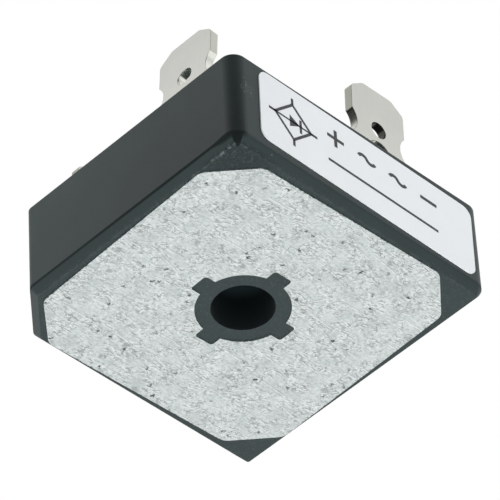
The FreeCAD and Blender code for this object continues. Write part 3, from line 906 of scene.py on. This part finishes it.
def waveSign(size, stroke, height):
    # a small upright face spun through one arc, then copied half a turn round its open end for the other arc
    half = waveSet["halfTurn"]
    radius = size / 4 / math.sin(half)
    deselectAll()
    bpy.ops.mesh.primitive_plane_add(size=1, location=(0, 0, 0), rotation=(0, math.radians(90), -half))
    piece = bpy.context.object
    piece.scale = (height, stroke, 1)
    applyPlace()
    bpy.ops.object.mode_set(mode="EDIT")
    bpy.ops.mesh.select_all(action="SELECT")
    bpy.ops.mesh.spin(
        steps=waveSet["steps"], angle=-2 * half, axis=(0, 0, 1),
        center=(-radius * math.sin(half), -radius * math.cos(half), 0))
    bpy.ops.object.mode_set(mode="OBJECT")
    pickFaces(piece, lambda face: face.center.length < stroke / 10)
    bpy.ops.mesh.delete(type="FACE")
    bpy.ops.mesh.select_all(action="SELECT")
    bpy.ops.mesh.duplicate_move()
    bpy.ops.transform.rotate(value=math.pi, orient_axis="Z", center_override=(0, 0, 0))
    mergeAndTurnOut()
    bpy.ops.object.mode_set(mode="OBJECT")
    return piece


def softenEdges(piece, width):
    makeActive(piece)
    bevel = piece.modifiers.new("edges", "BEVEL")
    bevel.width = width
    bevel.segments = 2
    bevel.limit_method = "ANGLE"
    bevel.angle_limit = cleanSet["bevelAbove"]
    bpy.ops.object.modifier_apply(modifier="edges")


signMakers = {"plus": plusSign, "minus": minusSign, "wave": waveSign}

# polarity signs moulded into the top face, one inside each terminal and level with its middle
mouldedSet = {
    "size": 2.4 * mm,
    "stroke": 0.5 * mm,
    "height": 0.3 * mm,
    "proud": 0.15 * mm,
    "edge": 0.05 * mm,
    "reach": 8.5 * mm,
    "signs": [
        ("positive", "plus", (0, 1)),
        ("ac_left", "wave", (-1, 0)),
        ("negative", "minus", (0, -1)),
        ("ac_right", "wave", (1, 0)),
    ],
}
for side, kind, (outX, outY) in mouldedSet["signs"]:
    low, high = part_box("terminal_" + side)
    middle = (low + high) / 2
    mark = signMakers[kind](mouldedSet["size"], mouldedSet["stroke"], mouldedSet["height"])
    softenEdges(mark, mouldedSet["edge"])
    mark.location = (
        outX * mouldedSet["reach"] if outX else middle.x,
        outY * mouldedSet["reach"] if outY else middle.y,
        caseHigh.z + mouldedSet["proud"] - mouldedSet["height"] / 2)
    finishPiece(mark, "moulded_sign_" + side, casePlastic)
print("moulded signs made")

# print on the label: the circuit symbol of a bridge, then its four polarity signs over a thin rule
printSet = {
    "ink": 0.03 * mm,
    "proud": 0.02 * mm,
    "tilt": math.radians(1.05),
    "stroke": 0.34 * mm,
    "thinStroke": 0.255 * mm,
    "wireStroke": 0.17 * mm,
    "signSize": 1.9 * mm,
    "signRow": 6.9 * mm,
    "signPlaces": [("plus", -3.0 * mm), ("wave", 0.6 * mm), ("wave", 4.2 * mm), ("minus", 7.8 * mm)],
    "ruleRow": 4.0 * mm,
    "ruleMiddle": 2.4 * mm,
    "ruleLength": 12.7 * mm,
    "symbolPlace": (-7.9 * mm, 5.5 * mm),
    "diamond": 2.2 * mm,
    "lead": 0.7 * mm,
    "diode": 0.75 * mm,
    "barGap": 0.102 * mm,
}


def standOnLabel(piece, x, z):
    # stands a flat piece up on the label's face and tilts it with the label
    middle = (labelLow + labelHigh) / 2
    tilt = printSet["tilt"]
    acrossX = x - middle.x
    upZ = z - middle.z
    piece.rotation_euler = (math.radians(90), tilt, 0)
    piece.location = (
        middle.x + acrossX * math.cos(tilt) + upZ * math.sin(tilt),
        labelLow.y - printSet["proud"] + printSet["ink"] / 2,
        middle.z - acrossX * math.sin(tilt) + upZ * math.cos(tilt))


def inkPolygon(corners, radius, height, turn=0.0, rim=0.0):
    # a flat polygon drawn up into a plate, or into a frame if it has a rim
    deselectAll()
    bpy.ops.mesh.primitive_circle_add(
        vertices=corners, radius=radius, fill_type="NGON",
        location=(0, 0, -height / 2), rotation=(0, 0, turn))
    piece = bpy.context.object
    applyPlace()
    bpy.ops.object.mode_set(mode="EDIT")
    bpy.ops.mesh.select_all(action="SELECT")
    if rim:
        bpy.ops.mesh.inset(thickness=rim, depth=0)
        bpy.ops.mesh.delete(type="FACE")
        bpy.ops.mesh.select_all(action="SELECT")
    bpy.ops.mesh.extrude_region_move(TRANSFORM_OT_translate={"value": (0, 0, height)})
    bpy.ops.object.mode_set(mode="OBJECT")
    return piece


def bridgeCircuit():
    # a diamond with a lead at each corner, crossed by a wire that carries one diode, an arrow and a bar
    ink = printSet["ink"]
    thin = printSet["thinStroke"]
    radius = printSet["diamond"]
    symbol = [inkPolygon(4, radius, ink, rim=thin)]
    reach = radius + printSet["lead"] / 2 - printSet["stroke"] / 2
    for quarter in range(4):
        angle = math.radians(90 * quarter)
        lead = minusSign(printSet["lead"], thin, ink)
        lead.location = (reach * math.cos(angle), reach * math.sin(angle), 0)
        lead.rotation_euler = (0, 0, angle)
        symbol.append(lead)
    symbol.append(inkPolygon(3, printSet["diode"], ink, turn=math.radians(-90)))
    bar = minusSign(2 * printSet["diode"], thin, ink)
    bar.rotation_euler = (0, 0, math.radians(90))
    bar.location = (printSet["diode"] + printSet["barGap"], 0, 0)
    symbol.append(bar)
    symbol.append(minusSign(2 * radius, printSet["wireStroke"], ink))
    deselectAll()
    for piece in symbol:
        piece.select_set(True)
    bpy.context.view_layer.objects.active = symbol[0]
    applyPlace()
    bpy.ops.object.join()
    return symbol[0]


bridgeSymbol = bridgeCircuit()
standOnLabel(bridgeSymbol, *printSet["symbolPlace"])
finishPiece(bridgeSymbol, "printed_bridge_symbol", inkBlack)
for index, (kind, x) in enumerate(printSet["signPlaces"]):
    mark = signMakers[kind](printSet["signSize"], printSet["stroke"], printSet["ink"])
    standOnLabel(mark, x, printSet["signRow"])
    finishPiece(mark, "printed_sign_" + str(index + 1), inkBlack)
rule = minusSign(printSet["ruleLength"], printSet["thinStroke"], printSet["ink"])
standOnLabel(rule, printSet["ruleMiddle"], printSet["ruleRow"])
finishPiece(rule, "printed_rule", inkBlack)
print("label print made")
